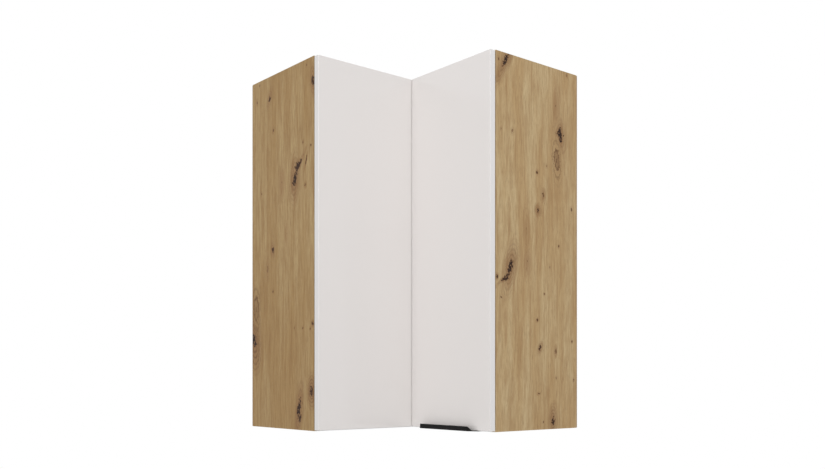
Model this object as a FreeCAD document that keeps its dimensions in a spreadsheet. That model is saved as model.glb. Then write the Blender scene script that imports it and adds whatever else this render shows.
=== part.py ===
import FreeCAD, Part
import Sketcher
import math
import os
import re

# Corner wall cabinet: an L-shaped carcass for the corner of a room, closed by two
# doors that meet in the inner corner and fold open together.
#
# Frame: millimetres, +Z up. The origin is where the two walls meet, level with the
# underside. The left wing runs along the wall y = 0 towards -X, and the right wing
# along the wall x = 0 towards -Y. The left door faces -Y and the right door -X.

SIZES = {
    # carcass
    "wing_length": 600,
    "height": 900,
    "side_depth": 290,
    "board": 16,
    "back": 3,
    "back_margin": 1,
    "edge_band": 1,
    "batten": 30,
    "batten_play": 1,
    "shelf_setback": 20,
    "shelf_play": 0.5,
    # assembly fittings
    "fitting_inset": 50,
    "dowel_spacing": 32,
    "cam_reach": 34,
    "cam_radius": 7.5,
    "cam_depth": 12.5,
    "bolt_radius": 3.4,
    "bolt_grip": 11,
    "dowel_radius": 4,
    "dowel_length": 30,
    "dowel_grip": 10,
    "pin_hole_depth": 9,
    "pin_radius": 2.5,
    "pin_grip": 8,
    "pin_inset": 37,
    "pin_pitch": 32,
    "fitting_play": 0.1,
    "nail_radius": 0.8,
    "nail_length": 20,
    "nail_head_radius": 2.2,
    "nail_head": 0.8,
    "nail_inset": 60,
    # doors
    "door_thickness": 16,
    "door_gap": 1.5,
    "door_reveal": 1,
    "end_reveal": 2,
    "fold_gap": 1.5,
    "door_edge_radius": 1,
    "bumper_radius": 4,
    "bumper_inset": 40,
    "bumper_clearance": 0.3,
    # hinge cups, sunk in the backs of the doors
    "hinge_inset": 110,
    "cup_radius": 17.5,
    "cup_depth": 12,
    "cup_wall": 0.8,
    "cup_edge": 5,
    "cup_play": 0.1,
    "wing_thickness": 1,
    "wing_length_half": 29,
    "cup_screw_half": 24,
    "cup_screw_offset": 9.5,
    "ear_inner": 5.3,
    "ear_outer": 7.3,
    # hinge plates, arms and links
    "plate_thickness": 2,
    "plate_setback": 37,
    "plate_half": 26,
    "plate_width": 20,
    "plate_screw_half": 16,
    "rail_height": 4.2,
    "rail_half": 6,
    "rail_length": 43,
    "arm_height": 7,
    "arm_half": 7,
    "arm_cheek": 1.8,
    "arm_wall": 1.8,
    "arm_end_gap": 12,
    "arm_length": 50,
    "arm_screw_spacing": 20,
    "link_half": 5,
    "link_gap": 0.2,
    "link_width": 5.2,
    "eye_radius": 3.2,
    "hinge_pin_radius": 1.5,
    "pin_fixed_play": 0.02,
    "pin_running_play": 0.05,
    "pin_open_play": 0.1,
    "screw_radius": 2.5,
    "screw_grip": 11,
    "screw_head_radius": 4.5,
    "screw_head": 1.2,
    # the side hinges' turning centre and link pins, from the carcass's front edge
    "turn_inset": 4.5,
    "turn_reach": 14.5,
    "arm_pin_inset": 22,
    "arm_pin_setback": 2.5,
    "cup_pin_inset": 28,
    "cup_pin_reach": 4.5,
    # the fold hinges' pins and arms, from the line where the two fronts meet
    "fold_pin_depth": 12,
    "fold_pin_reach": 13.5,
    "fold_arm_half": 5,
    "fold_arm_thickness": 5,
    "fold_arm_clearance": 3.5,
    "fold_plate_reach": 45,
    "fold_arm_start": 62,
    # pull
    "pull_length": 216,
    "pull_offset": 4.5,
    "pull_taper": 21,
    "pull_reach": 16,
    "pull_thickness": 1.6,
    "pull_lip": 10.6,
    "pull_cheek": 10.6,
    "pull_flange": 12,
    "pull_play": 0.1,
    "pull_screw_spacing": 80,
    "pull_screw_radius": 1.5,
    "pull_screw_head": 3,
    "pull_screw_length": 12,
    # wall hangers, in the upper rear corners of the two sides
    "hanger_width": 18,
    "hanger_depth": 50,
    "hanger_height": 55,
    "hanger_drop": 6,
    "hanger_setback": 3,
    "hook_thickness": 2.5,
    "hook_play": 0.3,
    "hook_height": 36,
    "hook_inset": 10,
    "hook_rear": 1,
    "hook_notch": 4,
    "hook_notch_depth": 14,
    "hook_nose": 4,
    "window_width": 34,
    "window_height": 50,
    "adjuster_radius": 3,
    "adjuster_length": 8,
    "adjuster_half": 16,
    "hanger_screw_radius": 2,
    "hanger_screw_head": 4,
}

doc = FreeCAD.newDocument("corner_wall_cabinet")
sheet = doc.addObject("Spreadsheet::Sheet", "Sizes")
for row, (alias, size) in enumerate(SIZES.items(), start=1):
    sheet.set(f"A{row}", alias)
    sheet.set(f"B{row}", str(size))
    sheet.setAlias(f"B{row}", alias)
doc.recompute()

WORD = re.compile(r"[a-z][a-z_]*")
nodes = {}


def cell(text):
    """The expression with every size name pointing at its cell."""
    return WORD.sub(lambda m: f"Sizes.{m.group()}" if m.group() in SIZES else m.group(), text)


def number(text):
    return float(sheet.evalExpression(cell(text)))


def bind(item, **sizes):
    for prop, text in sizes.items():
        item.setExpression(prop.replace("__", "."), cell(text))
    return item


def locate(item, x, y, z):
    return bind(item, Placement__Base__x=x, Placement__Base__y=y, Placement__Base__z=z)


def turned(left, x, y):
    """The right wing mirrors the left one: its X and Y change places."""
    return (x, y) if left else (y, x)


def block(x, y, z, left=True, name="block"):
    """Box between a low and a high value on each axis."""
    x, y = turned(left, x, y)
    item = doc.addObject("Part::Box", name)
    for prop, (low, high) in zip(("Length", "Width", "Height"), (x, y, z)):
        bind(item, **{prop: f"({high}) - ({low})"})
    return locate(item, x[0], y[0], z[0])


AXIS_TURN = {
    "x": FreeCAD.Rotation(FreeCAD.Vector(0, 1, 0), 90),
    "y": FreeCAD.Rotation(FreeCAD.Vector(1, 0, 0), -90),
    "z": FreeCAD.Rotation(),
}


def rod(axis, x, y, z, radius, left=True, name="rod", tip=None):
    """Cylinder, or cone where tip is given: the axis has a low and a high value."""
    if not left:
        x, y = y, x
        axis = {"x": "y", "y": "x", "z": "z"}[axis]
    place = {"x": x, "y": y, "z": z}
    low, high = place[axis]
    place[axis] = low
    item = doc.addObject("Part::Cone" if tip else "Part::Cylinder", name)
    item.Placement.Rotation = AXIS_TURN[axis]
    if tip:
        bind(item, Radius1=radius, Radius2=tip)
    else:
        bind(item, Radius=radius)
    bind(item, Height=f"({high}) - ({low})")
    return locate(item, place["x"], place["y"], place["z"])


def fuse(items, name="fuse"):
    if len(items) == 1:
        return items[0]
    item = doc.addObject("Part::MultiFuse", name)
    item.Shapes = items
    return item


def cut(base, tools, name="cut"):
    item = doc.addObject("Part::Cut", name)
    item.Base = base
    if len(tools) == 1:
        item.Tool = tools[0]
    else:
        group = doc.addObject("Part::Compound", "tools")
        group.Links = tools
        item.Tool = group
    return item


def group(items):
    if len(items) == 1:
        return items[0]
    item = doc.addObject("Part::Compound", "group")
    item.Links = items
    return item


def node(name, item):
    item.Label = name
    nodes[name] = item
    return item


def board(plan, z, left=True, name="board"):
    """Flat panel: a dimensioned outline in plan, padded from a low to a high level."""
    plan = [turned(left, x, y) for x, y in plan]
    body = doc.addObject("PartDesign::Body", name)
    sketch = body.newObject("Sketcher::SketchObject", "outline")
    floor = [plane for plane in body.Origin.OriginFeatures if plane.Role == "XY_Plane"][0]
    sketch.AttachmentSupport = [(floor, "")]
    sketch.MapMode = "FlatFace"
    corners = [FreeCAD.Vector(number(x), number(y), 0) for x, y in plan]
    for index, corner in enumerate(corners):
        sketch.addGeometry(Part.LineSegment(corner, corners[(index + 1) % len(corners)]), False)
    for index in range(len(corners)):
        following = (index + 1) % len(corners)
        sketch.addConstraint(Sketcher.Constraint("Coincident", index, 2, following, 1))
    for index, corner in enumerate(plan):
        for kind, text in zip(("DistanceX", "DistanceY"), corner):
            held = Sketcher.Constraint(kind, -1, 1, index, 1, number(text))
            place = sketch.addConstraint(held)
            sketch.setExpression(f"Constraints[{place}]", cell(text))
    pad = body.newObject("PartDesign::Pad", "thickness")
    pad.Profile = sketch
    bind(pad, Length=f"({z[1]}) - ({z[0]})")
    bind(body, Placement__Base__z=z[0])
    doc.recompute()
    return body


def rectangle(x, y):
    return [(x[0], y[0]), (x[1], y[0]), (x[1], y[1]), (x[0], y[1])]


def bar(start, end, width, low, high):
    """Round-ended flat bar in plan from one point to another, as a solid."""
    along = end - start
    across = FreeCAD.Vector(-along.y, along.x, 0).normalize() * (width / 2)
    corners = [start + across, start - across, end - across, end + across, start + across]
    level = FreeCAD.Vector(0, 0, low)
    outline = Part.makePolygon([corner + level for corner in corners])
    return Part.Face(outline).extrude(FreeCAD.Vector(0, 0, high - low))


def link(name, start, end, low, high, start_hole, end_hole):
    """Hinge link: a bar with an eye at each end."""
    def disc(centre, radius):
        base = FreeCAD.Vector(centre.x, centre.y, low)
        return Part.makeCylinder(radius, high - low, base)
    eye = number("eye_radius")
    solid = bar(start, end, number("link_width"), low, high)
    solid = solid.fuse([disc(start, eye), disc(end, eye)]).removeSplitter()
    solid = solid.cut([disc(start, start_hole), disc(end, end_hole)])
    item = doc.addObject("Part::Feature", name)
    item.Shape = solid
    return node(name, item)


# Lines shared by both wings, in the left wing's own directions
FRONT = "(-back - side_depth)"
END = "(-wing_length + board)"
DOOR_BACK = f"({FRONT} - door_gap)"
DOOR_FRONT = f"({DOOR_BACK} - door_thickness)"
DOOR_END = f"({DOOR_FRONT} - fold_gap)"
DOOR_LAP = f"({DOOR_BACK} - fold_gap)"
BAY = "((height - 4 * board) / 3)"
SHELVES = {"lower_shelf": f"(board + {BAY})", "upper_shelf": f"(2 * board + 2 * {BAY})"}
HINGES = {"lower": "hinge_inset", "upper": "(height - hinge_inset)"}
SIDES = {"left": True, "right": False}
FITTINGS = [f"({FRONT} + fitting_inset)", "(-back - fitting_inset)"]
DOWELS = [f"({FRONT} + fitting_inset + dowel_spacing)", "(-back - fitting_inset - dowel_spacing)"]
PIN_ROWS = [f"({FRONT} + pin_inset)", "(-back - pin_inset)"]
BOARD_LEVELS = {"bottom": "(board / 2)", "top": "(height - board / 2)"}

# Side panels: chipboard with a wood decor, bored on the inner face for the dowels, the
# cam bolts and five rows of shelf pins round each shelf
for side, left in SIDES.items():
    outline = rectangle(("-wing_length", END), (f"{FRONT} + edge_band", "-back"))
    panel = board(outline, ("0", "height"), left)
    holes = []
    for level in BOARD_LEVELS.values():
        for y in FITTINGS:
            reach = (f"{END} - bolt_grip", END)
            holes.append(rod("x", reach, y, level, "bolt_radius + fitting_play", left))
        for y in DOWELS:
            reach = (f"{END} - dowel_grip", END)
            holes.append(rod("x", reach, y, level, "dowel_radius + fitting_play", left))
    for shelf in SHELVES.values():
        for step in range(-2, 3):
            for y in PIN_ROWS:
                level = f"{shelf} - pin_radius + {step} * pin_pitch"
                reach = (f"{END} - pin_hole_depth", END)
                holes.append(rod("x", reach, y, level, "pin_radius + fitting_play", left))
    node(f"{side}_side_panel", cut(panel, holes))
    strip = block(("-wing_length", END), (FRONT, f"{FRONT} + edge_band"), ("0", "height"), left)
    node(f"{side}_side_edge_band", strip)


def ell(end, front, rear, notch=None):
    """L-shaped outline round the room's corner, with a square notch at the rear."""
    plan = [(end, rear), (end, front), (front, front), (front, end), (rear, end)]
    if notch:
        return plan + [(rear, notch), (notch, notch), (notch, rear)]
    return plan + [(rear, rear)]


def edge_strips(front, end, z):
    """Edge banding of an L-shaped board: one strip along each side of the inner corner."""
    inner = f"{front} + edge_band"
    first = block((end, inner), (front, inner), z)
    second = block((front, inner), (end, front), z)
    return [first, second]


# Top and bottom: L-shaped boards between the sides, held by cam fittings and dowels
cams = []
bolts = []
dowels = []
for name, z in {"bottom": ("0", "board"), "top": ("height - board", "height")}.items():
    level = BOARD_LEVELS[name]
    face = z[1]
    sheet_board = board(ell(END, f"{FRONT} + edge_band", "-back"), z)
    holes = []
    for left in SIDES.values():
        for y in FITTINGS:
            centre = f"{END} + cam_reach"
            seat = (f"{face} - cam_depth", face)
            holes.append(rod("z", centre, y, seat, "cam_radius + fitting_play", left))
            holes.append(rod("x", (END, centre), y, level, "bolt_radius + fitting_play", left))
            cams.append(rod("z", centre, y, seat, "cam_radius", left))
            reach = (f"{END} - bolt_grip", f"{centre} - cam_radius")
            bolts.append(rod("x", reach, y, level, "bolt_radius", left))
        for y in DOWELS:
            inner_end = f"{END} + dowel_length - dowel_grip"
            bore = "dowel_radius + fitting_play"
            holes.append(rod("x", (END, inner_end), y, level, bore, left))
            reach = (f"{END} - dowel_grip", inner_end)
            dowels.append(rod("x", reach, y, level, "dowel_radius", left))
    node(f"{name}_panel", cut(sheet_board, holes))
    node(f"{name}_edge_bands", group(edge_strips(FRONT, END, z)))
node("cam_locks", group(cams))
node("cam_bolts", group(bolts))
node("dowels", group(dowels))

# Shelves: loose L-shaped boards on steel pins, notched round the corner batten
shelf_strips = []
pins = []
CORNER = "(-back - batten)"
for name, underside in SHELVES.items():
    z = (underside, f"{underside} + board")
    front = f"({FRONT} + shelf_setback)"
    end = f"({END} + shelf_play)"
    rear = "(-back - shelf_play)"
    notch = f"({CORNER} - batten_play)"
    node(name, board(ell(end, f"{front} + edge_band", rear, notch), z))
    shelf_strips += edge_strips(front, end, z)
    level = f"{underside} - pin_radius"
    for left in SIDES.values():
        for y in PIN_ROWS:
            reach = (f"{END} - pin_grip", f"{END} + pin_grip")
            pins.append(rod("x", reach, y, level, "pin_radius", left))
        reach = (f"{CORNER} - pin_grip", f"{CORNER} + pin_grip")
        pins.append(rod("x", reach, f"{CORNER} + batten / 2", level, "pin_radius", left))
node("shelf_edge_bands", group(shelf_strips))
node("shelf_pins", group(pins))

# Corner batten: a square post in the rear corner, to which both backs are nailed, with a
# pin in each of its two inner faces for every shelf
post = board(rectangle((CORNER, "-back"), (CORNER, "-back")), ("board", "height - board"))
holes = []
for underside in SHELVES.values():
    for left in SIDES.values():
        reach = (CORNER, f"{CORNER} + pin_grip")
        level = f"{underside} - pin_radius"
        radius = "pin_radius + fitting_play"
        holes.append(rod("x", reach, f"{CORNER} + batten / 2", level, radius, left))
node("corner_batten", cut(post, holes))

# Wall hangers: a plastic housing on each side panel, a steel hook that reaches through
# a window in the back, and its two adjusting screws
HANGER_TOP = "(height - board - hanger_drop)"
HANGER_LOW = f"({HANGER_TOP} - hanger_height)"
HANGER_MID = f"({HANGER_TOP} - hanger_height / 2)"
HANGER_REAR = "(-back - hanger_setback)"
HOOK_LOW = f"({HANGER_MID} - hook_height / 2)"
hanger_screws = []
adjusters = []
for side, left in SIDES.items():
    x = (END, f"{END} + hanger_width")
    y = (f"{HANGER_REAR} - hanger_depth", HANGER_REAR)
    housing = block(x, y, (HANGER_LOW, HANGER_TOP), left)
    hook_x = (f"{END} + hook_inset", f"{END} + hook_inset + hook_thickness")
    slot_x = (f"{hook_x[0]} - hook_play", f"{hook_x[1]} + hook_play")
    front_end = f"{y[0]} + adjuster_length"
    slot_z = (f"{HOOK_LOW} - hook_play", f"{HOOK_LOW} + hook_height + hook_play")
    slot = block(slot_x, (front_end, f"{HANGER_REAR} + 1"), slot_z, left)
    tools = [slot]
    for sign in "+-":
        level = f"{HANGER_MID} {sign} adjuster_half"
        reach = (y[0], front_end)
        centre = f"{END} + hook_inset + hook_thickness / 2"
        tools.append(rod("y", centre, reach, level, "adjuster_radius + fitting_play", left))
        adjusters.append(rod("y", centre, reach, level, "adjuster_radius", left))
        fixing = f"{HANGER_MID} {sign} (hanger_height / 2 - hanger_screw_head)"
        middle = f"{HANGER_REAR} - hanger_depth / 2"
        clear = "hanger_screw_radius + fitting_play"
        tools.append(rod("x", (END, x[1]), middle, fixing, clear, left))
        shank = rod("x", (f"{END} - screw_grip", x[1]), middle, fixing, "hanger_screw_radius", left)
        head_reach = (x[1], f"{x[1]} + screw_head")
        head = rod("x", head_reach, middle, fixing, "hanger_screw_head", left)
        hanger_screws.append(fuse([shank, head]))
    node(f"{side}_hanger_housing", cut(housing, tools))
    hook_y = (f"{front_end} + hook_play", "-hook_rear")
    plate = block(hook_x, hook_y, (HOOK_LOW, f"{HOOK_LOW} + hook_height"), left)
    notch_y = ("-hook_rear - hook_nose - hook_notch", "-hook_rear - hook_nose")
    notch = block(hook_x, notch_y, (HOOK_LOW, f"{HOOK_LOW} + hook_notch_depth"), left)
    node(f"{side}_hanger_hook", cut(plate, [notch]))
node("hanger_screws", group(hanger_screws))
node("hanger_adjusters", group(adjusters))

# Backs: thin hardboard nailed to the rear edges, with a window for each hanger's hook
nails = []
for side, left in SIDES.items():
    outer = "-wing_length + back_margin"
    inner = "0" if left else "-back"
    z = ("back_margin", "height - back_margin")
    sheet_back = board(rectangle((outer, inner), ("-back", "0")), z, left)
    window_z = (f"{HANGER_MID} - window_height / 2", f"{HANGER_MID} + window_height / 2")
    window = block((END, f"{END} + window_width"), ("-back", "0"), window_z, left)
    node(f"{side}_back_panel", cut(sheet_back, [window]))
    runs = {"low": "board / 2", "high": "height - board / 2"}
    places = []
    for level in runs.values():
        for share in (1, 2, 3, 4):
            span = f"({END} + fitting_inset + {CORNER}) - {END}"
            places.append((f"{END} + ({CORNER} - {END}) * {share} / 5", level))
    for share in (1, 2, 3, 4):
        level = f"nail_inset + (height - 2 * nail_inset) * {share} / 6"
        places.append(("-wing_length + board / 2", level))
        places.append((f"{CORNER} + batten / 2 + ({'0' if left else 'nail_head_radius * 2'})", level))
    for x, level in places:
        shank = rod("y", x, ("-nail_length", "0"), level, "nail_radius", left)
        head = rod("y", x, ("-nail_head", "0"), level, "nail_head_radius", left)
        nails.append(fuse([shank, head]))
node("back_panel_nails", group(nails))

# Doors: lacquered boards with eased front edges, bored for the hinge cups
LEAF_END = "(-wing_length + door_reveal)"
door_z = ("end_reveal", "height - end_reveal")


def leaf(left):
    """One door, its front face's edges rounded over. The left door runs on behind the
    right door's end, so the joint in the corner shows no gap."""
    span = (LEAF_END, DOOR_LAP if left else DOOR_END)
    panel = board(rectangle(span, (DOOR_FRONT, DOOR_BACK)), door_z, left)
    front = number(DOOR_FRONT)
    edges = []
    for index, edge in enumerate(panel.Shape.Edges, start=1):
        across = [vertex.Y if left else vertex.X for vertex in edge.Vertexes]
        if all(abs(value - front) < 1e-6 for value in across):
            edges.append(f"Edge{index}")
    pad = panel.Tip
    rounding = panel.newObject("PartDesign::Fillet", "eased_edges")
    rounding.Base = (pad, edges)
    bind(rounding, Radius="door_edge_radius")
    panel.Tip = rounding
    doc.recompute()
    return panel


CUP_BORE = "cup_radius + cup_play"
CUP_SEAT = (f"{DOOR_BACK} - cup_depth", DOOR_BACK)
SIDE_CUP = f"({LEAF_END} + cup_edge + cup_radius)"
FOLD_CUP = f"({DOOR_END} - cup_edge - cup_radius)"
bores = [rod("y", SIDE_CUP, CUP_SEAT, level, CUP_BORE) for level in HINGES.values()]
node("left_door", cut(leaf(True), bores))

PULL_MID = f"(({LEAF_END} + {DOOR_END}) / 2 + pull_offset)"
PULL_Y = (f"{PULL_MID} - pull_length / 2", f"{PULL_MID} + pull_length / 2")
PULL_FLANGE_TOP = "(end_reveal + pull_flange)"
bores = [rod("y", FOLD_CUP, CUP_SEAT, level, CUP_BORE, False) for level in HINGES.values()]
recess = block(
    (f"{DOOR_BACK} - pull_thickness - pull_play", DOOR_BACK),
    (f"{PULL_Y[0]} - pull_play", f"{PULL_Y[1]} + pull_play"),
    ("end_reveal", f"{PULL_FLANGE_TOP} + pull_play"),
)
node("right_door", cut(leaf(False), bores + [recess]))

# Door bumpers: clear pads on the right side's front edge, where the free door lands
bumpers = []
for level in ("bumper_inset", "height - bumper_inset"):
    reach = (f"{DOOR_BACK} + bumper_clearance", FRONT)
    middle = "-wing_length + board / 2"
    bumpers.append(rod("y", middle, reach, level, "bumper_radius", False))
node("door_bumpers", group(bumpers))


def offset(level, value):
    return f"{level} + ({value})"


def slab(level, half):
    return offset(level, f"-({half})"), offset(level, half)


def cup(name, centre, pin_along, pin_across, level, left, toward_end):
    """Hinge cup: a round pot with two screw wings behind and two ears round its pin."""
    pot = rod("y", centre, CUP_SEAT, level, "cup_radius", left)
    wing_x = [centre, f"{centre} {toward_end} cup_radius"]
    if toward_end == "-":
        wing_x.reverse()
    wing_y = (DOOR_BACK, f"{DOOR_BACK} + wing_thickness")
    wings = block(wing_x, wing_y, slab(level, "wing_length_half"), left)
    mouth = (f"{CUP_SEAT[0]} + cup_wall", wing_y[1])
    hollow = rod("y", centre, mouth, level, "cup_radius - cup_wall", left)
    tools = [hollow]
    screw_x = f"{centre} {toward_end} cup_screw_offset"
    for sign in "+-":
        middle = offset(level, f"{sign}cup_screw_half")
        tools.append(rod("y", screw_x, wing_y, middle, "screw_radius + fitting_play", left))
    shell = cut(fuse([pot, wings]), tools)
    ears = []
    for sign in "+-":
        ear_z = [offset(level, f"{sign}ear_inner"), offset(level, f"{sign}ear_outer")]
        if sign == "-":
            ear_z.reverse()
        ear_x = (f"{pin_along} - eye_radius", f"{pin_along} + eye_radius")
        root = block(ear_x, (f"{CUP_SEAT[0]} + cup_wall / 2", pin_across), ear_z, left)
        ears.append(fuse([root, rod("z", pin_along, pin_across, ear_z, "eye_radius", left)]))
    reach = slab(level, "ear_outer")
    bore = rod("z", pin_along, pin_across, reach, "hinge_pin_radius + pin_fixed_play", left)
    node(name, cut(fuse([shell] + ears), [bore]))
    pin = rod("z", pin_along, pin_across, reach, "hinge_pin_radius", left)
    screws = []
    for sign in "+-":
        middle = offset(level, f"{sign}cup_screw_half")
        grip = (f"{DOOR_BACK} - screw_grip", wing_y[1])
        shank = rod("y", screw_x, grip, middle, "screw_radius", left)
        head_y = (wing_y[1], f"{wing_y[1]} + screw_head / 4")
        head = rod("y", screw_x, head_y, middle, "screw_head_radius", left)
        screws.append(fuse([shank, head]))
    return pin, screws


def plate(name, x, rail_x, y, level, along):
    """Mounting plate: a cross-shaped foot with a raised rail, and its two screws."""
    base, top, foot_top, grip = y
    foot = block(*turned(along, x, (base, foot_top)), slab(level, "plate_half"))
    rail = block(*turned(along, rail_x, (base, top)), slab(level, "rail_half"))
    middle = f"(({x[0]}) + ({x[1]})) / 2"
    tools = []
    screws = []
    for sign in "+-":
        height = offset(level, f"{sign}plate_screw_half")
        clear = "screw_radius + fitting_play"
        tools.append(rod("y", middle, (base, foot_top), height, clear, along))
        shank = rod("y", middle, (grip, foot_top), height, "screw_radius", along)
        head = rod("y", middle, (foot_top, f"{foot_top} + screw_head"), height,
                   "screw_head_radius", along)
        screws.append(fuse([shank, head]))
    node(name, cut(fuse([foot, rail]), tools))
    return screws


# Side hinges, two, between the left side and the left door. Each is a parallelogram of
# links whose pins carry the door round a turning centre near its own outer edge: the
# crank turns with the door, and the coupler stays parallel to itself
def u_place(size):
    return f"(-wing_length + {size})"


def v_place(size):
    return f"({FRONT} - {size})"


TURN = (u_place("turn_inset"), v_place("turn_reach"))
ARM_PIN = (u_place("arm_pin_inset"), v_place("(-arm_pin_setback)"))
CUP_PIN = (u_place("cup_pin_inset"), v_place("cup_pin_reach"))
KNEE_PIN = tuple(f"({a} + {c} - {t})" for a, c, t in zip(ARM_PIN, CUP_PIN, TURN))
plan_points = {}
for key, (x, y) in {"arm": ARM_PIN, "cup": CUP_PIN, "knee": KNEE_PIN}.items():
    plan_points[key] = FreeCAD.Vector(number(x), number(y), 0)

plate_screws = []
cup_pins = []
cup_screws = []
arm_pins = []
knee_pins = []
arm_screws = []
for place, level in HINGES.items():
    pin, screws = cup(f"{place}_side_hinge_cup", SIDE_CUP, *CUP_PIN, level, True, "+")
    cup_pins.append(pin)
    cup_screws += screws
    foot_y = (v_place("(-plate_setback - plate_width / 2)"),
              v_place("(-plate_setback + plate_width / 2)"))
    rail_y = (v_place("(-plate_setback - rail_length / 2)"),
              v_place("(-plate_setback + rail_length / 2)"))
    foot_y, rail_y = foot_y[::-1], rail_y[::-1]
    rail_top = f"({END} + rail_height)"
    levels = (END, rail_top, f"({END} + plate_thickness)", f"({END} - screw_grip)")
    plate_screws += plate(f"{place}_side_hinge_plate", foot_y, rail_y, levels, level, False)
    arm_x = (rail_top, f"{rail_top} + arm_height")
    arm_front = v_place("(-arm_end_gap)")
    arm_body = block(arm_x, (arm_front, f"{arm_front} + arm_length"), slab(level, "arm_half"))
    pieces = [arm_body]
    for sign in "+-":
        cheek_z = [offset(level, f"{sign}(arm_half - arm_cheek)"), offset(level, f"{sign}arm_half")]
        if sign == "-":
            cheek_z.reverse()
        cheek_x = (rail_top, f"{ARM_PIN[0]} + eye_radius")
        pieces.append(block(cheek_x, (ARM_PIN[1], arm_front), cheek_z))
        pieces.append(rod("z", *ARM_PIN, cheek_z, "eye_radius"))
    reach = slab(level, "arm_half")
    bore = rod("z", *ARM_PIN, reach, "hinge_pin_radius + pin_fixed_play")
    channel = block((rail_top, f"{arm_x[1]} - arm_wall"),
                    (arm_front, f"{arm_front} + arm_length - arm_wall"),
                    slab(level, "arm_half - arm_cheek"))
    node(f"{place}_side_hinge_arm", cut(fuse(pieces), [bore, channel]))
    arm_pins.append(rod("z", *ARM_PIN, reach, "hinge_pin_radius"))
    for step in (1, 2):
        screw_y = f"{arm_front} + {step} * arm_screw_spacing"
        head_x = (arm_x[1], f"{arm_x[1]} + screw_head")
        arm_screws.append(rod("x", head_x, screw_y, level, "adjuster_radius"))
    middle = number(level)
    half = number("link_half")
    lap = number("link_gap")
    running = number("hinge_pin_radius + pin_running_play")
    fixed = number("hinge_pin_radius + pin_fixed_play")
    open_hole = number("hinge_pin_radius + pin_open_play")
    link(f"{place}_side_hinge_crank", plan_points["arm"], plan_points["knee"],
         middle - half, middle - lap, running, fixed)
    link(f"{place}_side_hinge_coupler", plan_points["knee"], plan_points["cup"],
         middle + lap, middle + half, running, open_hole)
    knee_pins.append(rod("z", *KNEE_PIN, slab(level, "link_half"), "hinge_pin_radius"))
node("side_hinge_cup_pins", group(cup_pins))
node("side_hinge_cup_screws", group(cup_screws))
node("side_hinge_plate_screws", group(plate_screws))
node("side_hinge_arm_pins", group(arm_pins))
node("side_hinge_arm_screws", group(arm_screws))
node("side_hinge_crank_pins", group(knee_pins))

# Fold hinges, two, between the doors: a long arm on the left door's back reaches round
# the inner corner into a cup in the right door, where it turns on one pin
FOLD_PIN = (f"({DOOR_FRONT} + fold_pin_depth)", f"({DOOR_FRONT} - fold_pin_reach)")
plate_screws = []
cup_pins = []
cup_screws = []
arm_screws = []
for place, level in HINGES.items():
    pin, screws = cup(f"{place}_fold_hinge_cup", FOLD_CUP, FOLD_PIN[1], FOLD_PIN[0], level,
                      False, "-")
    cup_pins.append(pin)
    cup_screws += screws
    centre = f"({DOOR_FRONT} - fold_plate_reach)"
    foot_x = (f"{centre} - plate_width / 2", f"{centre} + plate_width / 2")
    rail_x = (f"{centre} - rail_length / 2", f"{centre} + rail_length / 2")
    rail_top = f"({DOOR_BACK} + rail_height)"
    levels = (DOOR_BACK, rail_top, f"({DOOR_BACK} + plate_thickness)",
              f"({DOOR_BACK} - screw_grip)")
    plate_screws += plate(f"{place}_fold_hinge_plate", foot_x, rail_x, levels, level, True)
    arm_top = f"({rail_top} + fold_arm_thickness)"
    leg_inner = f"({DOOR_BACK} + fold_arm_clearance)"
    leg_outer = f"({leg_inner} + fold_arm_thickness)"
    nose = (f"{FOLD_PIN[1]} - fold_arm_thickness / 2", f"{FOLD_PIN[1]} + fold_arm_thickness / 2")
    thick = slab(level, "fold_arm_half")
    pieces = [
        block((f"{DOOR_FRONT} - fold_arm_start", leg_outer), (rail_top, arm_top), thick),
        block((leg_inner, leg_outer), (nose[0], arm_top), thick),
        block((FOLD_PIN[0], leg_outer), nose, thick),
        rod("z", *FOLD_PIN, thick, "eye_radius"),
    ]
    bore = rod("z", *FOLD_PIN, thick, "hinge_pin_radius + pin_running_play")
    node(f"{place}_fold_hinge_arm", cut(fuse(pieces), [bore]))
    for step in (-1, 1):
        screw_x = f"{centre} + {step} * arm_screw_spacing / 2"
        head_y = (arm_top, f"{arm_top} + screw_head")
        arm_screws.append(rod("y", screw_x, head_y, level, "adjuster_radius"))
node("fold_hinge_pins", group(cup_pins))
node("fold_hinge_cup_screws", group(cup_screws))
node("fold_hinge_plate_screws", group(plate_screws))
node("fold_hinge_arm_screws", group(arm_screws))


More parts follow.
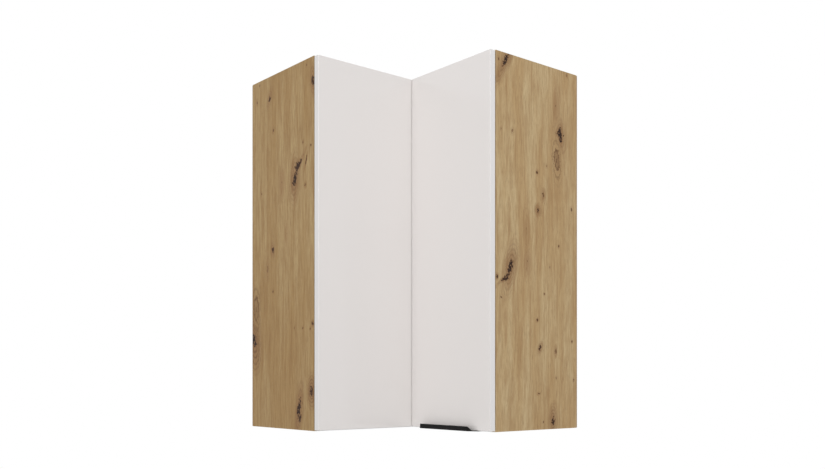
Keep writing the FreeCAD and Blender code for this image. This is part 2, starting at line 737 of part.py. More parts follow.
# Pull: one bent metal strip along the right door's bottom edge. A flange is screwed into
# the door's back, a web passes under the edge, and a lip stands up in front, with its
# ends tapered and folded
def pull():
    thickness = number("pull_thickness")
    back = number(DOOR_BACK)
    front = number(DOOR_FRONT)
    low_y, high_y = (number(value) for value in PULL_Y)
    under = number("end_reveal")
    floor = under - thickness
    nose = front - number("pull_reach")
    taper = number("pull_taper")
    top = floor + number("pull_lip")

    def prism(points, direction):
        outline = Part.makePolygon(points + [points[0]])
        return Part.Face(outline).extrude(direction)

    def spot(x, y, z=floor):
        return FreeCAD.Vector(x, y, z)

    up = FreeCAD.Vector(0, 0, thickness)
    plan = [spot(back, low_y), spot(back, high_y), spot(front, high_y),
            spot(nose, high_y - taper), spot(nose, low_y + taper), spot(front, low_y)]
    web = prism(plan, up)
    length = high_y - low_y
    flange = Part.makeBox(thickness, length, number(PULL_FLANGE_TOP) - floor,
                          spot(back - thickness, low_y))
    lip = Part.makeBox(thickness, length - 2 * taper, top - floor, spot(nose, low_y + taper))
    cheeks = []
    for end, turn in ((low_y, 1), (high_y, -1)):
        corner = spot(nose, end + turn * taper)
        along = (spot(front, end) - corner).normalize()
        inward = FreeCAD.Vector(along.y, -along.x, 0) * thickness * -turn
        foot = corner + along * number("pull_cheek")
        crest = FreeCAD.Vector(corner.x, corner.y, top)
        base = FreeCAD.Vector(0, 0, thickness / 2)
        cheeks.append(prism([corner + base, foot + base, crest], inward))
    solid = web.fuse([flange, lip] + cheeks).removeSplitter()
    holes = []
    for step in (-1, 0, 1):
        place = spot(back - thickness, (low_y + high_y) / 2 + step * number("pull_screw_spacing"),
                     under + number("pull_flange") / 2)
        holes.append(Part.makeCone(number("pull_screw_radius + pin_fixed_play"),
                                   number("pull_screw_head + pin_fixed_play"), thickness, place,
                                   FreeCAD.Vector(1, 0, 0)))
    item = doc.addObject("Part::Feature", "pull")
    item.Shape = solid.cut(holes)
    return item


node("pull_handle", pull())
screws = []
PULL_SCREW_Z = "end_reveal + pull_flange / 2"
for step in (-1, 0, 1):
    along = f"{PULL_MID} + {step} * pull_screw_spacing"
    seat = f"{DOOR_BACK} - pull_thickness"
    head = rod("x", (seat, DOOR_BACK), along, PULL_SCREW_Z, "pull_screw_radius",
               tip="pull_screw_head")
    shank = rod("x", (f"{seat} - pull_screw_length", seat), along, PULL_SCREW_Z,
                "pull_screw_radius")
    screws.append(fuse([head, shank]))
node("pull_screws", group(screws))

doc.recompute()

# Every object is sound before anything is written
faults = []
for item in doc.Objects:
    if "Invalid" in item.State or "Error" in item.State:
        faults.append(f"{item.Label}: {item.State}")
for name, item in nodes.items():
    if item.Shape.isNull() or not item.Shape.isValid() or not item.Shape.Solids:
        faults.append(f"{name}: bad shape")
if faults:
    raise RuntimeError("; ".join(faults))

os.makedirs("parts", exist_ok=True)
for name, item in nodes.items():
    item.Shape.exportStep(f"parts/{name}.step")
    print(f"{name:28s} {len(item.Shape.Solids):3d} solids {item.Shape.Volume / 1000:10.2f} cm3")
print(len(nodes), "nodes")
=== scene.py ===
import math

import bmesh
import bpy
from mathutils import Matrix, Vector


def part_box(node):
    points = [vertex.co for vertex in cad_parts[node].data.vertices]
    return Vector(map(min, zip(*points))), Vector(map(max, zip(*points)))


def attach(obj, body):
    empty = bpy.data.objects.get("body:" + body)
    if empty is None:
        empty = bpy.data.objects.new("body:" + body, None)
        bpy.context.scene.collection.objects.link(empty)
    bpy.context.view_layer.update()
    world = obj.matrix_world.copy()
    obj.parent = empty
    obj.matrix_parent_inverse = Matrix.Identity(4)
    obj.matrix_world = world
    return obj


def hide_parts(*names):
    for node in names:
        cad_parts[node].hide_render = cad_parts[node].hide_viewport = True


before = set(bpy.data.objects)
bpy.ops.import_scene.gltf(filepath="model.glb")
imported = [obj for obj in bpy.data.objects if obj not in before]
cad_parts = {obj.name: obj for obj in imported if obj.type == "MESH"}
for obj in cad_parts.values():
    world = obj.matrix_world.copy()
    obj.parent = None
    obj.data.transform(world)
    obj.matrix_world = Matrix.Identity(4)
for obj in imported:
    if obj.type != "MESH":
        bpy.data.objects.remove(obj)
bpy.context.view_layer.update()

# ---------------------------------------------------------------------------
# Room: a white studio. The cabinet hangs well above a pale floor, as it would on two
# walls, and a camera at eye height looks level towards the inner corner of its doors.

floor_depth = 1.45       # below the cabinet's underside
camera_turn = -39.73     # degrees
room_light = 0.53
full_white = 1.0
cabinet_middle = Vector((-0.3, -0.3, 0.45))

camera_data = bpy.data.cameras.new("camera")
camera_data.sensor_width = 36.0
camera_data.lens = 39.95
camera_data.shift_y = 0.172
camera = bpy.data.objects.new("camera", camera_data)
camera.location = (-1.8203, -2.1311, 0.1312)
camera.rotation_euler = (math.radians(90), 0, math.radians(camera_turn))
bpy.context.scene.collection.objects.link(camera)
bpy.context.scene.camera = camera
bpy.context.scene.view_settings.view_transform = "Standard"


def node_of(tree, kind, **settings):
    """New node in the material's or the room's node tree."""
    made = tree.nodes.new("ShaderNode" + kind)
    for key, value in settings.items():
        setattr(made, key, value)
    return made


def feed(tree, socket, value):
    """Links another node's output to the socket, or sets a plain value on it."""
    if isinstance(value, bpy.types.NodeSocket):
        tree.links.new(value, socket)
    else:
        socket.default_value = value


def maths(tree, operation, *values):
    """Math node fed by sockets or numbers."""
    made = node_of(tree, "Math", operation=operation)
    for socket, value in zip(made.inputs, values):
        feed(tree, socket, value)
    return made.outputs[0]


def white_source(tree, kind, strength):
    """Background or Emission node in plain white."""
    made = node_of(tree, kind)
    made.inputs["Color"].default_value = (1, 1, 1, 1)
    made.inputs["Strength"].default_value = strength
    return made


def shown_white(tree, lighting, white, output):
    """The lighting shader is what lights the cabinet. Rays from the camera, and those
    mirrored or let through on the way, meet the white one."""
    rays = node_of(tree, "LightPath")
    seen = rays.outputs["Is Camera Ray"]
    for name in ("Is Glossy Ray", "Is Transmission Ray"):
        seen = maths(tree, "MAXIMUM", seen, rays.outputs[name])
    choice = node_of(tree, "MixShader")
    feed(tree, choice.inputs["Fac"], seen)
    feed(tree, choice.inputs[1], lighting.outputs[0])
    feed(tree, choice.inputs[2], white.outputs[0])
    feed(tree, output.inputs["Surface"], choice.outputs[0])


def new_finish(name, roughness, colour=(0.8, 0.8, 0.8), **shader_values):
    """Material with its shader's constant values, its node tree and its shader."""
    finish = bpy.data.materials.new(name)
    finish.use_nodes = True
    shader = finish.node_tree.nodes["Principled BSDF"]
    shader.inputs["Base Color"].default_value = (*colour, 1)
    shader.inputs["Roughness"].default_value = roughness
    for socket, value in shader_values.items():
        shader.inputs[socket.replace("_", " ")].default_value = value
    return finish, finish.node_tree, shader


room = bpy.data.worlds.new("studio")
room.use_nodes = True
bpy.context.scene.world = room
tree = room.node_tree
tree.nodes.clear()
shown_white(tree, white_source(tree, "Background", room_light),
            white_source(tree, "Background", full_white), node_of(tree, "OutputWorld"))

bpy.ops.object.select_all(action="DESELECT")
bpy.ops.mesh.primitive_plane_add(size=14, location=(0, 0, -floor_depth))
floor = bpy.context.object
floor.name = "floor"
floor_paint, tree, paint = new_finish("pale_floor", 0.9)
shown_white(tree, paint, white_source(tree, "Emission", full_white),
            tree.nodes["Material Output"])
floor.data.materials.append(floor_paint)

for name, place, power, size in (
    ("key", (-1.6, -4.2, 2.6), 64, 2.6),
    ("fill", (-4.4, -1.2, 1.9), 52, 2.8),
):
    lamp_data = bpy.data.lights.new(name, "AREA")
    lamp_data.energy = power
    lamp_data.size = size
    lamp = bpy.data.objects.new(name, lamp_data)
    lamp.location = place
    aim = cabinet_middle - Vector(place)
    lamp.rotation_euler = aim.to_track_quat("-Z", "Y").to_euler()
    bpy.context.scene.collection.objects.link(lamp)


# ---------------------------------------------------------------------------
# Side panels: chipboard under a printed knotty oak decor, grain upright, with a
# matching edge band in front. Knots, cracks and their swirling figure are printed too.

decor_skin = 0.0002      # thickness of the decor on each face
chip_scale = 520
chip_light = (0.66, 0.50, 0.31)
chip_dark = (0.38, 0.25, 0.13)


def own_place(tree):
    """Where each point of the surface is, in metres, in the cabinet's own frame."""
    return node_of(tree, "TexCoord").outputs["Object"]


def along_axes(tree, place):
    """The place's X, Y and Z, one by one."""
    split = node_of(tree, "SeparateXYZ")
    feed(tree, split.inputs[0], place)
    return split.outputs


def vectors(tree, operation, *values):
    """Vector Math node fed by sockets or tuples."""
    made = node_of(tree, "VectorMath", operation=operation)
    for socket, value in zip(made.inputs, values):
        feed(tree, socket, value)
    return made.outputs["Value" if operation == "LENGTH" else "Vector"]


def stretched(tree, place, size):
    """The place with each axis multiplied, to draw a pattern out along the grain."""
    return vectors(tree, "MULTIPLY", place, size)


def noise(tree, place, scale, detail=2.0, rough=0.5, output="Fac"):
    """Noise texture, as a value from 0 to 1 or as a colour."""
    made = node_of(tree, "TexNoise")
    for label, value in (("Vector", place), ("Scale", scale), ("Detail", detail),
                         ("Roughness", rough)):
        feed(tree, made.inputs[label], value)
    return made.outputs[output]


def wander(tree, place, scale, detail, rough, width):
    """Noise as a vector that strays either way from nothing, over that width per axis."""
    stray = noise(tree, place, scale, detail, rough, output="Color")
    centred = vectors(tree, "SUBTRACT", stray, (0.5, 0.5, 0.5))
    return stretched(tree, centred, width)


def spread(tree, value, low, high, to_low=0.0, to_high=1.0, smooth=False):
    """Map Range node: low and high become to_low and to_high, clamped."""
    made = node_of(tree, "MapRange", interpolation_type="SMOOTHSTEP" if smooth else "LINEAR")
    for label, number in (("Value", value), ("From Min", low), ("From Max", high),
                          ("To Min", to_low), ("To Max", to_high)):
        feed(tree, made.inputs[label], number)
    return made.outputs["Result"]


def mixed(tree, share, first, second):
    """The first colour, covered by that share of the second."""
    made = node_of(tree, "Mix", data_type="RGBA")
    feed(tree, made.inputs[0], share)
    for socket, value in ((made.inputs[6], first), (made.inputs[7], second)):
        feed(tree, socket, (*value, 1) if isinstance(value, tuple) else value)
    return made.outputs[2]


def bumped(tree, shader, height, depth, strength):
    """Fine relief, that many metres deep, from a height of 0 to 1."""
    made = node_of(tree, "Bump")
    for label, value in (("Strength", strength), ("Distance", depth), ("Height", height)):
        feed(tree, made.inputs[label], value)
    feed(tree, shader.inputs["Normal"], made.outputs[0])


def dress(finish, *names):
    """Gives the finish to CAD pieces that keep their own shape."""
    for name in names:
        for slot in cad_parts[name].material_slots:
            slot.material = finish


def within(tree, place, board, skins):
    """1 inside the board's box less a skin on each axis, and 0 on its faces."""
    inside = None
    for value, low, high, skin in zip(along_axes(tree, place), *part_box(board), skins):
        near = maths(tree, "COMPARE", value, (low + high) / 2, (high - low) / 2 - skin)
        inside = near if inside is None else maths(tree, "MULTIPLY", inside, near)
    return inside


def cored(tree, shader, place, tone, board, skins):
    """Skin colour on the board's faces and bare chipboard in its holes and sawn edges."""
    chips = node_of(tree, "TexVoronoi")
    feed(tree, chips.inputs["Scale"], chip_scale)
    feed(tree, chips.inputs["Vector"], place)
    grey = node_of(tree, "SeparateColor")
    feed(tree, grey.inputs[0], chips.outputs["Color"])
    core = mixed(tree, grey.outputs[0], chip_light, chip_dark)
    bare = within(tree, place, board, skins)
    feed(tree, shader.inputs["Base Color"], mixed(tree, bare, tone, core))


# Each knot: place across the panel, height, half width, half height, lean in degrees,
# how dark its heart is, how strong its rings and brown shade are, and how far they
# spread in half widths. A tiny one with a long reach is a soft brown patch in the wood.
LEFT_KNOTS = [
    (-0.022, 0.308, 0.0150, 0.0370, 0, 0.20, 1.0, 2.4),
    (-0.232, 0.030, 0.0045, 0.0130, -20, 0.9, 0.5, 3.0),
    (-0.207, 0.617, 0.0075, 0.0190, -4, 1.0, 0.5, 5.0),
    (-0.224, 0.642, 0.0050, 0.0270, -40, 0.95, 0.5, 3.0),
    (-0.260, 0.652, 0.0022, 0.0150, -25, 0.7, 0.3, 3.0),
    (-0.288, 0.845, 0.0060, 0.0160, 4, 0.9, 0.5, 4.0),
    (-0.087, 0.843, 0.0040, 0.0090, -25, 0.85, 0.4, 4.0),
    (-0.025, 0.851, 0.0024, 0.0048, 0, 0.6, 0.3, 3.0),
    (-0.103, 0.760, 0.0026, 0.0040, 0, 0.7, 0.3, 4.0),
    (-0.050, 0.607, 0.0020, 0.0032, 0, 0.6, 0.3, 3.0),
    (-0.149, 0.621, 0.0009, 0.0025, 0, 0.95, 0.0, 28),
    (-0.173, 0.487, 0.0007, 0.0025, 0, 0.65, 0.0, 28),
    (-0.103, 0.455, 0.0044, 0.0088, 6, 0.85, 0.4, 4.0),
    (-0.079, 0.407, 0.0040, 0.0096, 0, 0.35, 0.2, 5.0),
    (-0.106, 0.347, 0.0024, 0.0032, 0, 0.7, 0.3, 3.0),
    (-0.010, 0.228, 0.0100, 0.0230, 8, 1.0, 0.9, 5.5),
    (-0.288, 0.261, 0.0035, 0.0048, 0, 0.75, 0.4, 3.0),
    (-0.206, 0.252, 0.0024, 0.0040, -20, 0.35, 0.2, 3.0),
    (-0.282, 0.097, 0.0070, 0.0130, 0, 0.9, 0.9, 4.5),
    (-0.228, 0.055, 0.0075, 0.0310, -10, 1.0, 0.5, 3.5),
    (-0.262, 0.891, 0.0024, 0.0030, 0, 0.6, 0.2, 3.0),
    (-0.038, 0.890, 0.0024, 0.0030, 0, 0.5, 0.2, 3.0),
    (-0.244, 0.702, 0.0026, 0.0036, -20, 0.5, 0.2, 3.5),
    (-0.283, 0.684, 0.0022, 0.0034, 0, 0.7, 0.2, 3.0),
    (-0.255, 0.595, 0.0030, 0.0036, 0, 0.5, 0.2, 4.0),
    (-0.244, 0.251, 0.0024, 0.0036, -20, 0.55, 0.2, 3.0),
    (-0.277, 0.249, 0.0024, 0.0034, -20, 0.6, 0.2, 3.0),
]
RIGHT_KNOTS = [
    (-0.080, 0.675, 0.0105, 0.0320, -3, 0.30, 1.0, 2.5),
    (-0.083, 0.808, 0.0008, 0.0035, 0, 0.95, 0.0, 28),
    (-0.191, 0.489, 0.0007, 0.0030, 0, 0.65, 0.0, 28),
    (-0.187, 0.409, 0.0009, 0.0022, 0, 0.95, 0.0, 28),
    (-0.289, 0.366, 0.0026, 0.0048, 0, 0.9, 0.5, 3.0),
    (-0.259, 0.884, 0.0048, 0.0240, 30, 1.0, 0.5, 5.0),
    (-0.041, 0.890, 0.0026, 0.0040, 0, 0.5, 0.2, 3.0),
    (-0.066, 0.738, 0.0100, 0.0210, -14, 1.0, 0.35, 3.5),
    (-0.239, 0.716, 0.0028, 0.0048, 10, 0.55, 0.3, 3.0),
    (-0.274, 0.717, 0.0020, 0.0032, 0, 0.4, 0.2, 3.0),
    (-0.153, 0.632, 0.0026, 0.0040, 0, 0.75, 0.4, 3.0),
    (-0.131, 0.582, 0.0034, 0.0054, 0, 0.65, 0.3, 6.0),
    (-0.150, 0.540, 0.0048, 0.0060, 0, 0.85, 0.4, 4.5),
    (-0.026, 0.551, 0.0024, 0.0048, 0, 0.6, 0.3, 3.0),
    (-0.244, 0.394, 0.0070, 0.0200, 12, 1.0, 0.5, 5.0),
    (-0.259, 0.376, 0.0024, 0.0260, 45, 0.95, 0.5, 3.0),
    (-0.104, 0.405, 0.0020, 0.0032, 0, 0.5, 0.2, 3.0),
    (-0.149, 0.271, 0.0034, 0.0032, 30, 0.7, 0.3, 3.0),
    (-0.138, 0.201, 0.0042, 0.0080, 25, 0.8, 0.4, 3.5),
    (-0.082, 0.195, 0.0028, 0.0080, 0, 0.55, 0.3, 3.0),
    (-0.023, 0.219, 0.0024, 0.0040, 0, 0.6, 0.3, 3.0),
    (-0.015, 0.121, 0.0024, 0.0040, 0, 0.6, 0.3, 3.0),
    (-0.091, 0.022, 0.0058, 0.0120, 0, 0.95, 0.5, 5.0),
    (-0.283, 0.882, 0.0028, 0.0034, 0, 0.6, 0.2, 3.5),
    (-0.119, 0.654, 0.0022, 0.0028, 0, 0.5, 0.2, 3.0),
    (-0.073, 0.454, 0.0022, 0.0036, 0, 0.7, 0.2, 3.0),
    (-0.123, 0.337, 0.0024, 0.0028, 0, 0.6, 0.2, 3.0),
    (-0.273, 0.323, 0.0034, 0.0026, 0, 0.6, 0.2, 3.5),
    (-0.079, 0.128, 0.0022, 0.0032, 0, 0.5, 0.2, 3.0),
    (-0.142, 0.088, 0.0040, 0.0024, 0, 0.6, 0.2, 3.0),
    (-0.127, 0.018, 0.0024, 0.0034, 0, 0.6, 0.2, 3.0),
]


def knot_group():
    """One printed knot: darkens its heart, shades and rings the wood round it, and bends
    the grain outwards on its way past. Knots are chained, each on the last one's output."""
    heart_edge = (0.72, 1.1)
    shade_start = 0.4
    even_rings = 6.0
    torn_rings = 3.6
    bend = 0.6

    group = bpy.data.node_groups.new("printed_knot", "ShaderNodeTree")
    passed_on = (("Place", "Vector"), ("Heart", "Float"), ("Shade", "Float"), ("Rings", "Float"))
    its_own = (("Ragged", "Vector"), ("Centre", "Vector"), ("Turn", "Vector"),
               ("Radii", "Vector"), ("Depth", "Float"), ("Figure", "Float"),
               ("Reach", "Float"))
    for way, sockets in (("INPUT", passed_on + its_own), ("OUTPUT", passed_on)):
        for label, kind in sockets:
            group.interface.new_socket(label, in_out=way, socket_type="NodeSocket" + kind)
    given = group.nodes.new("NodeGroupInput").outputs
    result = group.nodes.new("NodeGroupOutput").inputs

    centred = node_of(group, "Mapping", vector_type="TEXTURE")
    for label, source in (("Vector", "Place"), ("Location", "Centre"), ("Rotation", "Turn"),
                          ("Scale", "Radii")):
        feed(group, centred.inputs[label], given[source])
    local = centred.outputs[0]
    away = vectors(group, "LENGTH", local)
    torn = vectors(group, "LENGTH", vectors(group, "ADD", local, given["Ragged"]))
    near = spread(group, away, shade_start, given["Reach"], 1.0, 0.0, smooth=True)

    heart = spread(group, torn, *heart_edge, 1.0, 0.0, smooth=True)
    heart = maths(group, "MULTIPLY", heart, given["Depth"])
    shade = maths(group, "MULTIPLY_ADD", given["Depth"], 0.8,
                  maths(group, "MULTIPLY", given["Figure"], 0.2))
    shade = maths(group, "MULTIPLY", near, shade)
    phase = maths(group, "MULTIPLY_ADD", away, even_rings,
                  maths(group, "MULTIPLY", torn, torn_rings))
    rings = maths(group, "MULTIPLY", spread(group, maths(group, "SINE", phase), -0.2, 1.0),
                  maths(group, "MULTIPLY", near, given["Figure"]))
    for label, value in (("Heart", heart), ("Shade", shade), ("Rings", rings)):
        feed(group, result[label], maths(group, "MAXIMUM", given[label], value))

    pull_in = node_of(group, "VectorMath", operation="SCALE")
    feed(group, pull_in.inputs[0], vectors(group, "MULTIPLY", local, given["Radii"]))
    feed(group, pull_in.inputs["Scale"], maths(group, "MULTIPLY", near, -bend))
    feed(group, result["Place"], vectors(group, "ADD", given["Place"], pull_in.outputs[0]))
    return group


PRINTED_KNOT = knot_group()


def knotty_oak(name, board, across, knots, light, medium, dark):
    """Printed oak decor. across is the axis that the panel's width runs along, 0 or 1, and
    light, medium and dark are its tones, which also hold painted shade where a panel is set
    darker than the other."""
    pore_brown = (0.17, 0.095, 0.05)
    smoky_brown = (0.27, 0.135, 0.060)
    ring_brown = (0.12, 0.058, 0.028)
    heart_brown = (0.130, 0.058, 0.026)
    heart_black = (0.030, 0.014, 0.008)
    right_through = 100.0    # metres, so that a knot is the same all through the panel
    smoke_falloff = 1.3
    smoke_strength = 0.74

    finish, tree, shader = new_finish(name, 0.55, Specular_IOR_Level=0.15)
    place = own_place(tree)
    sway = wander(tree, stretched(tree, place, (9, 9, 4)), 1.0, 3.0, 0.5, (0.016, 0.016, 0.03))
    torn = wander(tree, stretched(tree, place, (1, 1, 0.9)), 130, 4.0, 0.65, (5.4, 5.4, 1.6))
    grain_place = vectors(tree, "ADD", place, sway)

    low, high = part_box(board)
    turned_about = 1 - across
    heart = shade = rings = None
    for where, height, half_width, half_height, lean, depth, figure, reach in knots:
        centre = (low + high) / 2
        centre[across] = where
        centre.z = height
        radii = [right_through, right_through, half_height]
        radii[across] = half_width
        turn = [0.0, 0.0, 0.0]
        turn[turned_about] = math.radians(-lean if across else lean)
        knot = node_of(tree, "Group", node_tree=PRINTED_KNOT)
        for label, value in (("Place", grain_place), ("Heart", heart), ("Shade", shade),
                             ("Rings", rings), ("Ragged", torn), ("Centre", centre),
                             ("Turn", turn), ("Radii", radii), ("Depth", depth),
                             ("Figure", figure), ("Reach", reach)):
            if value is not None:
                feed(tree, knot.inputs[label], value)
        grain_place, heart, shade, rings = (
            knot.outputs[label] for label in ("Place", "Heart", "Shade", "Rings"))

    # Streaks from broad to fine: how far each is drawn out, its scale, detail, roughness
    broad, bands, fibres, pores = (
        noise(tree, stretched(tree, grain_place, (1, 1, squeeze)), scale, detail, rough)
        for squeeze, scale, detail, rough in (
            (0.11, 22, 3.0, 0.5),
            (0.08, 95, 3.0, 0.65),
            (0.07, 300, 4.0, 0.8),
            (0.06, 800, 1.0, 0.5),
        ))
    smoke = maths(tree, "MULTIPLY", maths(tree, "POWER", shade, smoke_falloff),
                  smoke_strength)
    tone = mixed(tree, spread(tree, broad, 0.40, 0.60), light, medium)
    for share, colour in (
        (spread(tree, bands, 0.46, 0.70, 0.0, 0.7), dark),
        (spread(tree, fibres, 0.38, 0.62, 0.0, 0.55), dark),
        (spread(tree, pores, 0.62, 0.72, 0.0, 0.35), pore_brown),
        (smoke, smoky_brown),
        (maths(tree, "MULTIPLY", rings, 0.8), ring_brown),
        (spread(tree, heart, 0.0, 0.75), heart_brown),
        (spread(tree, heart, 0.55, 1.0), heart_black),
    ):
        tone = mixed(tree, share, tone, colour)
    cored(tree, shader, place, tone, board, (decor_skin, decor_skin, decor_skin))
    relief = maths(tree, "SUBTRACT", fibres, maths(tree, "MULTIPLY", heart, 0.8))
    bumped(tree, shader, relief, 0.0002, 0.5)
    return finish


# One decor on both panels: the left panel's tones are set darker than the right's, painted shade
# on the side that faces away from the lamps.
left_oak_with_painted_shade = knotty_oak(
    "knotty_oak_left_painted_shade", "left_side_panel", 1, LEFT_KNOTS,
    light=(0.485, 0.348, 0.174), medium=(0.412, 0.270, 0.120), dark=(0.290, 0.164, 0.065))
right_oak = knotty_oak(
    "knotty_oak_right", "right_side_panel", 0, RIGHT_KNOTS,
    light=(0.61, 0.468, 0.264), medium=(0.522, 0.361, 0.181), dark=(0.367, 0.219, 0.098))
dress(left_oak_with_painted_shade, "left_side_panel", "left_side_edge_band")
dress(right_oak, "right_side_panel", "right_side_edge_band")

# ---------------------------------------------------------------------------
# Top, bottom and shelves: chipboard with white melamine on both faces and a thin
# white band on the edges of the inner corner. The faces have a faint pearl texture.

sawn_edge = -0.001       # less than no skin: the core shows right out to the edge


def melamine(board):
    """White melamine on the board's two faces."""
    finish, tree, shader = new_finish("white_melamine_" + board, 0.5)
    place = own_place(tree)
    pearl = noise(tree, place, 900, 2.0, 0.6)
    clouds = spread(tree, noise(tree, place, 14), 0.3, 0.7)
    tone = mixed(tree, clouds, (0.87, 0.87, 0.86), (0.84, 0.84, 0.83))
    cored(tree, shader, place, tone, board, (sawn_edge, sawn_edge, decor_skin))
    bumped(tree, shader, pearl, 0.00006, 0.5)
    dress(finish, board)


for board in ("top_panel", "bottom_panel", "upper_shelf", "lower_shelf"):
    melamine(board)

banding, tree, shader = new_finish("white_banding", 0.38, (0.88, 0.88, 0.87))
ripple = noise(tree, stretched(tree, own_place(tree), (1, 1, 0.2)), 260)
bumped(tree, shader, ripple, 0.00005, 0.4)
dress(banding, "top_edge_bands", "bottom_edge_bands", "shelf_edge_bands")

# ---------------------------------------------------------------------------
# Backs: 3 mm hardboard, lacquered white towards the inside and bare brown fibre
# towards the wall. Both are nailed to the rear edges and to the corner batten.

bare_fibre = 0.0026      # thickness of the board behind its lacquered face
lacquer = (0.84, 0.84, 0.83)


def hardboard(name, axis):
    """Lacquered hardboard. axis is the one that runs through it, to the wall at zero."""
    finish, tree, shader = new_finish(name, 0.6, lacquer)
    place = own_place(tree)
    rear = maths(tree, "GREATER_THAN", along_axes(tree, place)[axis], -bare_fibre)
    fibre = noise(tree, place, 320, 4.0, 0.7)
    blotch = noise(tree, place, 22, 3.0)
    brown = mixed(tree, spread(tree, fibre, 0.3, 0.7), (0.30, 0.185, 0.105), (0.40, 0.26, 0.155))
    brown = mixed(tree, spread(tree, blotch, 0.4, 0.8, 0, 0.4), brown, (0.24, 0.145, 0.08))
    feed(tree, shader.inputs["Base Color"], mixed(tree, rear, lacquer, brown))
    bumped(tree, shader, fibre, 0.0001, 0.5)
    return finish


dress(hardboard("hardboard_left", 1), "left_back_panel")
dress(hardboard("hardboard_right", 0), "right_back_panel")

# ---------------------------------------------------------------------------
# Corner batten and dowels: bare wood with open grain. The planed pine batten stands in
# the rear corner, where both backs are nailed to it. The beech dowels are turned.


def plain_wood(name, pale, deep):
    """Bare wood with its grain upright, pale with deeper streaks."""
    finish, tree, shader = new_finish(name, 0.6, pale)
    grain = noise(tree, stretched(tree, own_place(tree), (1, 1, 0.03)), 160, 3.0, 0.6)
    tone = mixed(tree, spread(tree, grain, 0.35, 0.7), pale, deep)
    feed(tree, shader.inputs["Base Color"], tone)
    bumped(tree, shader, grain, 0.0002, 0.5)
    return finish


dress(plain_wood("pine", (0.70, 0.52, 0.31), (0.56, 0.37, 0.19)), "corner_batten")
dress(plain_wood("beech", (0.62, 0.42, 0.26), (0.50, 0.31, 0.17)), "dowels")

# ---------------------------------------------------------------------------
# Cam bolts and back nails: steel wire turned or headed to shape, with a dull zinc coat
# and fine handling marks. The bolts screw into the sides, and the nails hold the backs.


def metal(name, colour, roughness):
    """Coated steel, a little smoother or rougher where it was handled."""
    finish, tree, shader = new_finish(name, roughness, colour, Metallic=1.0)
    place = own_place(tree)
    smears = spread(tree, noise(tree, place, 60), 0.3, 0.7, roughness - 0.06, roughness + 0.08)
    feed(tree, shader.inputs["Roughness"], smears)
    bumped(tree, shader, noise(tree, place, 700, 3.0, 0.6), 0.00004, 0.4)
    return finish


zinc = metal("zinc_plate", (0.60, 0.61, 0.62), 0.36)
dress(zinc, "cam_bolts", "back_panel_nails")

# ---------------------------------------------------------------------------
# Cam locks: die-cast discs turned with a driver, flush in the top and bottom panels.
# Each pulls in the bolt that comes from the side panel; dowels keep the panels level.

one_point = 0.000002     # corners of a CAD mesh nearer than this are the same corner
upwards = (0, 0, 1)


def top_face(face):
    return face.normal.z > 0.9


def bottom_face(face):
    return face.normal.z < -0.9


def choose(piece, test, kind="FACE"):
    """In edit mode, selects the faces, edges or vertices that pass the test, and no more."""
    mesh = bmesh.from_edit_mesh(piece.data)
    bpy.ops.mesh.select_mode(type=kind)
    groups = {"VERT": mesh.verts, "EDGE": mesh.edges, "FACE": mesh.faces}
    for group in groups.values():
        for item in group:
            item.select_set(False)
    for item in groups[kind]:
        if test(item):
            item.select_set(True)
    bmesh.update_edit_mesh(piece.data)


def extrude(by):
    """Extrudes what is chosen by that vector."""
    bpy.ops.mesh.extrude_region_move(TRANSFORM_OT_translate={"value": by})


def pick(piece):
    """Selects this piece alone, for the next operator to act on."""
    bpy.ops.object.select_all(action="DESELECT")
    piece.select_set(True)
    bpy.context.view_layer.objects.active = piece


def editing(piece):
    """Opens this piece alone in edit mode."""
    pick(piece)
    bpy.ops.object.mode_set(mode="EDIT")


def finished(piece, kind, **settings):
    """Adds one modifier and applies it."""
    change = piece.modifiers.new(kind.lower(), kind)
    for key, value in settings.items():
        setattr(change, key, value)
    pick(piece)
    bpy.ops.object.modifier_apply(modifier=change.name)


def smooth(piece, angle=35):
    """Rounded edges shade round, and the broad faces beside them stay flat."""
    pick(piece)
    bpy.ops.object.shade_smooth_by_angle(angle=math.radians(angle))
    finished(piece, "WEIGHTED_NORMAL", weight=80, keep_sharp=True)


def clear_away(shape):
    """Removes a pattern or a tool once its copies or cuts are made."""
    bpy.data.objects.remove(shape)


def round_blank(top, height, vertices, foot=None):
    """Disc with its top face at zero, left in edit mode, or a cone if foot is given. top
    and foot are radii."""
    bpy.ops.object.select_all(action="DESELECT")
    middle = (0, 0, -height / 2)
    if foot is None:
        bpy.ops.mesh.primitive_cylinder_add(vertices=vertices, radius=top, depth=height,
                                            location=middle)
    else:
        bpy.ops.mesh.primitive_cone_add(vertices=vertices, radius1=foot, radius2=top,
                                        depth=height, location=middle)
    piece = bpy.context.object
    bpy.ops.object.transform_apply(location=True, rotation=False, scale=False)
    bpy.ops.object.mode_set(mode="EDIT")
    return piece


def driver_cross(piece, reach, width, depth):
    """Sinks a cross for the driver into the top of a head."""
    foot_share = 0.4
    for turn in (0, 90):
        bpy.ops.object.select_all(action="DESELECT")
        bpy.ops.mesh.primitive_cube_add(size=1, rotation=(0, 0, math.radians(turn)))
        blade = bpy.context.object
        blade.scale = (2 * reach, width, 2 * depth)
        bpy.ops.object.transform_apply(location=False, rotation=True, scale=True)
        editing(blade)
        choose(blade, bottom_face)
        bpy.ops.transform.resize(value=(foot_share, foot_share, 1))
        bpy.ops.object.mode_set(mode="OBJECT")
        finished(piece, "BOOLEAN", object=blade, solver="EXACT")
        clear_away(blade)


def fitted(piece, body, finish, node):
    """The finished piece stands for this CAD node and moves with its body."""
    piece.data.materials.clear()
    piece.data.materials.append(finish)
    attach(piece, body)
    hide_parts(node)


